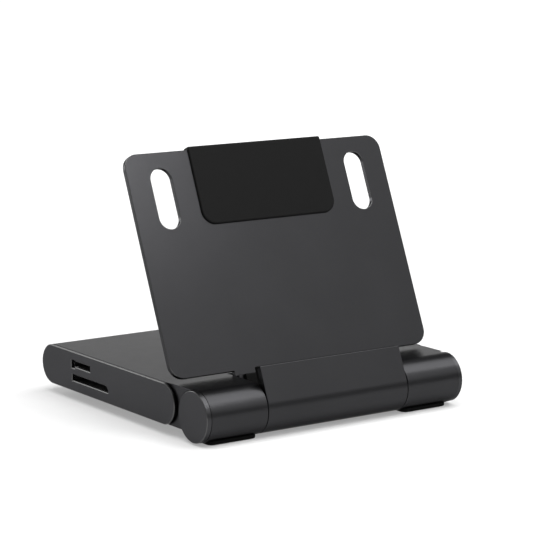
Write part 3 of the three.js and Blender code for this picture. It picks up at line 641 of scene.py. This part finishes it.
def liner_channel(reach, rise):
    inner_front, inner_floor, inner_back = LINER_FRONT + LINER_T, LINER_FLOOR + LINER_T, LINER_BACK - LINER_T
    section = ([(LINER_FRONT, LINER_FLOOR + FILLET)]
               + arc(LINER_FRONT + FILLET, LINER_FLOOR + FILLET, FILLET, 180, 270, 8)
               + arc(LINER_BACK - FILLET, LINER_FLOOR + FILLET, FILLET, -90, 0, 8)
               + arc(LINER_BACK - 0.3, rise - 0.3, 0.3, 0, 90, 4) + arc(inner_back + 0.5, rise - 0.5, 0.5, 90, 180, 5)
               + arc(inner_back - 0.8, inner_floor + 0.8, 0.8, 0, -90, 6)
               + arc(inner_front + 0.8, inner_floor + 0.8, 0.8, -90, -180, 6)
               + arc(inner_front - 0.5, LINER_HIGH - 0.5, 0.5, 0, 90, 5)
               + arc(LINER_FRONT + 0.3, LINER_HIGH - 0.3, 0.3, 90, 180, 4))
    return prism("cradle_liner", section, soft_levels(-reach, reach, 0.15, 3), stand_section, (BLACK_RUBBER,))


liner = liner_channel(CRADLE_HALF - 0.05, LINER_FLOOR + 2.4)
carve(liner, liner_channel(LINER_LEG_HALF, LEG_HIGH - 0.1), "UNION")
show(liner, "stand", "black_rubber", "cradle_liner")


# ---------------------------------------------------------------- plate pad
# A fine matt silicone sleeve folded over the plate's top edge and bonded on, the same in front and behind.
# Its edges are moulded round.
PAD_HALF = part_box("plate_pad")[1].x / MM
PAD_LOW, PAD_HIGH, PAD_CORNER = 64.5, 92.3, 5.0
PAD_FACE = 0.75                                       # how far its faces stand off the plate
PAD_ROUND = 0.6


def silicone(nodes):
    tooth = grain(nodes, 0.12, detail=2.0)
    handled = grain(nodes, 9.0, detail=4.0).above(0.4, 0.7)
    return {"Base Color": (0.7 * tooth + 0.3 * handled).tint(grey(0.004), grey(0.006)),
            "Roughness": 0.52 + 0.04 * handled, "Specular IOR Level": 0.06, "Normal": bump(nodes, tooth, 0.01)}


SILICONE = material("matt_silicone", silicone)

PAD_TOP_R = 0.6
outline = (arc(PAD_CORNER - PAD_HALF, PAD_LOW + PAD_CORNER, PAD_CORNER, 180, 270, 24)
           + arc(PAD_HALF - PAD_CORNER, PAD_LOW + PAD_CORNER, PAD_CORNER, 270, 360, 24)
           + arc(PAD_HALF - PAD_TOP_R, PAD_HIGH - PAD_TOP_R, PAD_TOP_R, 0, 90, 6)
           + arc(PAD_TOP_R - PAD_HALF, PAD_HIGH - PAD_TOP_R, PAD_TOP_R, 90, 180, 6))
pad = prism("plate_pad", outline, soft_levels(PLATE_FRONT - PAD_FACE, PLATE_BACK + PAD_FACE, PAD_ROUND, 6), in_stand,
            (SILICONE,))
pocket = [(-PAD_HALF - 1, PAD_LOW - 1), (PAD_HALF + 1, PAD_LOW - 1), (PAD_HALF + 1, PLATE_HIGH + 0.02),
          (-PAD_HALF - 1, PLATE_HIGH + 0.02)]
carve(pad, prism("pocket", pocket, [(PLATE_FRONT - 0.02, 0), (PLATE_BACK + 0.02, 0)], in_stand))
show(pad, "stand", "pad_rubber", "plate_pad")


# ---------------------------------------------------------------- sockets
# Folded and plated steel shells soldered to the board behind the side caps. Each display, data or power socket has a
# black moulded tongue with gold-plated contacts; the card sockets have a row of contacts in the roof.
SOCKET_WALL = 0.35
SOCKET_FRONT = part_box("hdmi_socket")[1].x / MM


def plated(nodes):
    wear = grain(nodes, 1.2, detail=4.0)
    return {"Base Color": wear.tint(grey(0.36), grey(0.48)), "Metallic": 1.0, "Roughness": 0.28 + 0.16 * wear,
            "Normal": bump(nodes, wear, 0.006)}


def moulding(nodes):
    flow = grain(nodes, 0.5, detail=3.0)
    return {"Base Color": flow.tint(grey(0.010), grey(0.018)), "Roughness": 0.45 + 0.15 * flow,
            "Normal": bump(nodes, flow, 0.006)}


def gold_plate(nodes):
    rub = grain(nodes, 0.4, detail=3.0)
    return {"Base Color": rub.tint((0.75, 0.52, 0.20, 1), (0.85, 0.62, 0.28, 1)), "Metallic": 1.0,
            "Roughness": 0.24 + 0.14 * rub}


PLATED_STEEL = material("plated_steel", plated)
MOULDING = material("black_moulding", moulding)
GOLD = material("gold_plate", gold_plate)


def weld(piece, other):
    """Adds the other's mesh and materials to the piece's."""
    shape = bmesh.new()
    shape.from_mesh(piece.data)
    first = len(shape.faces)
    shape.from_mesh(other.data)
    shape.faces.ensure_lookup_table()
    for face in shape.faces[first:]:
        face.material_index += len(piece.data.materials)
    shape.to_mesh(piece.data)
    shape.free()
    for finish in other.data.materials:
        piece.data.materials.append(finish)
    bpy.data.objects.remove(other)


for name, (y, width, height, depth, tongue, r) in PORTS.items():
    back = SOCKET_FRONT - depth
    shell = prism(name, centred(y, HUB_MID, width, height, r),
                  [(back, 0), (SOCKET_FRONT - 0.15, 0), (SOCKET_FRONT, 0.1)], along_x, (PLATED_STEEL,))
    inner = centred(y, HUB_MID, width - 2 * SOCKET_WALL, height - 2 * SOCKET_WALL, max(r - SOCKET_WALL, 0.2))
    carve(shell, prism("inside", inner, [(back + 1.5, 0), (SOCKET_FRONT + 1, 0)], along_x))
    half = width / 2 - 1.6
    weld(shell, prism("tongue", centred(y, HUB_MID, 2 * half, tongue, 0.2, 4),
                      [(back + 1, 0), (SOCKET_FRONT - 1.6, 0), (SOCKET_FRONT - 1.5, 0.1)], along_x, (MOULDING,)))
    count = {"hdmi_socket": 10, "usb_a_socket": 4, "usb_c_socket": 12}[name]
    pitch = 2 * (half - 0.3) / count
    for i in range(count):
        middle = y - half + 0.3 + pitch * (i + 0.5)
        strip = centred(middle, HUB_MID, 0.55 * pitch, tongue + 0.1, 0.02, 1)
        weld(shell, prism("contact", strip, [(back + 2, 0), (SOCKET_FRONT - 2.2, 0)], along_x, (GOLD,)))
    show(shell, "hub_base", "connector_steel", name)

for name, (y0, y1, z0, z1), depth, low, high in (("sd_card_socket", SD_MOUTH, 26, -2.6, 1.05),
                                                 ("microsd_card_socket", MICRO_MOUTH, 15, 2.35, 5.9)):
    back = depth - SOCKET_FRONT
    box = rounded(y0 - 1.2, y1 + 1.2, low, high, 0.3, 3)
    shell = prism(name, box, [(-SOCKET_FRONT, 0), (back, 0)], along_x, (PLATED_STEEL,))
    inner = rounded(y0 - 0.1, y1 + 0.1, z0 - 0.1, z1 + 0.1, 0.1, 1)
    carve(shell, prism("inside", inner, [(-SOCKET_FRONT - 1, 0), (back - 1.2, 0)], along_x, (MOULDING,)))
    for i in range(8):
        middle = y0 + (y1 - y0) * (i + 0.8) / 8.6
        strip = centred(middle, z1 - 0.05, 0.9, 0.25, 0.05, 1)
        weld(shell, prism("contact", strip, [(back - 9, 0), (back - 2, 0)], along_x, (GOLD,)))
    show(shell, "hub_base", "connector_steel", name)

jack = prism("audio_jack", centred(JACK_Y, HUB_MID, 6.4, 5.4, 0.3, 3),
             [(SOCKET_FRONT - 12, 0), (SOCKET_FRONT - 0.1, 0), (SOCKET_FRONT, 0.1)], along_x, (MOULDING,))
carve(jack, prism("bore", circle(JACK_Y, HUB_MID, 1.8, 40),
                  [(SOCKET_FRONT - 10.5, 0), (SOCKET_FRONT + 1, 0)], along_x))
show(jack, "hub_base", "chip_package", "audio_jack")

gland_low, gland_high = [corner.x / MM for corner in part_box("host_lead_gland")]
gland = prism("host_lead_gland", circle(GLAND_Y, HUB_MID, GLAND_R), soft_levels(gland_low, gland_high, 0.3), along_x,
              (BLACK_RUBBER,), [circle(GLAND_Y, HUB_MID, 1.8, 40)])
show(gland, "hub_base", "black_rubber", "host_lead_gland")


# ---------------------------------------------------------------- board, chips and hinges
# The parts nobody sees from outside keep their modelled shapes: a green circuit board with its moulded chips, a coil
# and a soft heat pad, and in each barrel a steel friction hinge.
def laminate(nodes):
    weave = grain(nodes, 0.8, detail=2.0)
    tracks = nodes.node("TexVoronoi", {"distance": "MANHATTAN"}, {"Vector": nodes.node("TexCoord", output=3),
                                                                  "Scale": 900.0}).above(0.25, 0.35)
    return {"Base Color": (0.7 * tracks + 0.3 * weave).tint((0.006, 0.035, 0.014, 1), (0.012, 0.065, 0.026, 1)),
            "Roughness": 0.35 + 0.15 * weave, "Normal": bump(nodes, tracks, 0.03)}


def heat_pad(nodes):
    filler = grain(nodes, 0.3, detail=3.0)
    return {"Base Color": filler.tint((0.20, 0.24, 0.29, 1), (0.27, 0.32, 0.37, 1)), "Roughness": 0.85,
            "Normal": bump(nodes, filler, 0.03)}


def turned_steel(nodes):
    lines = grain(nodes, 0.2, detail=4.0)
    return {"Base Color": lines.tint(grey(0.38), grey(0.5)), "Metallic": 1.0, "Roughness": 0.25 + 0.2 * lines,
            "Normal": bump(nodes, lines, 0.008)}


FINISHES = {"board_laminate": material("circuit_board", laminate), "chip_package": MOULDING,
            "thermal_grey": material("heat_pad", heat_pad), "steel": material("turned_steel", turned_steel),
            "screw_steel": SCREW_STEEL}
INSIDE = {"main_board", "hub_controller_chip", "display_converter_chip", "card_reader_chip", "power_controller_chip",
          "power_inductor", "thermal_pad", "board_screw_1", "board_screw_2", "board_screw_3"}
INSIDE |= {part + side for part in ("hinge_sleeve", "hinge_shaft", "spring_washers", "hinge_nut", "shaft_pin")
           for side in ("_left", "_right")}
for piece in frame["record"]["subparts"]:
    if piece["node"] in INSIDE:
        frame["nodes"][piece["node"]].data.materials[0] = FINISHES[piece["material_slot"]]
